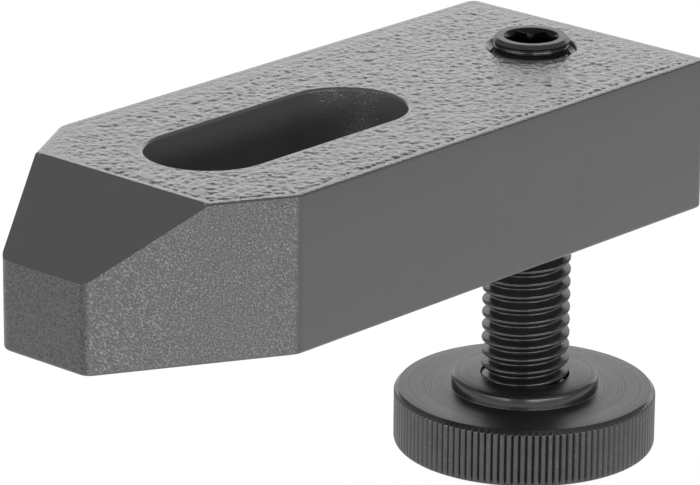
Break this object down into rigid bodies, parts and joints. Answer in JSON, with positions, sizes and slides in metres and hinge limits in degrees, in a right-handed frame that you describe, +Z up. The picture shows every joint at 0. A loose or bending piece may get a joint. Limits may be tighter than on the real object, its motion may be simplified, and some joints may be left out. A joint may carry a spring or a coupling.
{
  "type": "strap clamp",
  "caption": "Tapered strap clamp: a bar with a ramped nose and a slot for a clamping stud, held level by a threaded support screw on a knurled foot.",
  "frame": {"origin": "centre of the stud slot on the underside of the bar", "axes": "+Y along the bar from the nose to the heel, +X across the bar, +Z up along the stud and the support screw"},
  "size_m": [0.04, 0.1058, 0.0561],
  "materials": {
    "grey_lacquer": "satin",
    "black_oxide_screw": "gloss",
    "black_oxide_foot": "satin"
  },
  "bodies": {
    "clamp_body": {"clamp_body": "grey_lacquer"},
    "knurled_foot": {"knurled_foot": "black_oxide_foot"},
    "support_screw": {"support_screw": "black_oxide_screw"}
  },
  "joints": [
    {"name": "support_height", "type": "slide", "parent": "clamp_body", "child": "knurled_foot", "axis": [0, 0, 1], "range_m": [-0.00945, 0.02467]},
    {"name": "screw_turn", "type": "hinge", "parent": "knurled_foot", "child": "support_screw", "pos_m": [0, 0.048, 0], "axis": [0, 0, 1], "range_deg": [-1945, 5077]}
  ],
  "couplings": [
    {"joint": "screw_turn", "follows": "support_height", "rad_per_m": 3590.4}
  ]
}
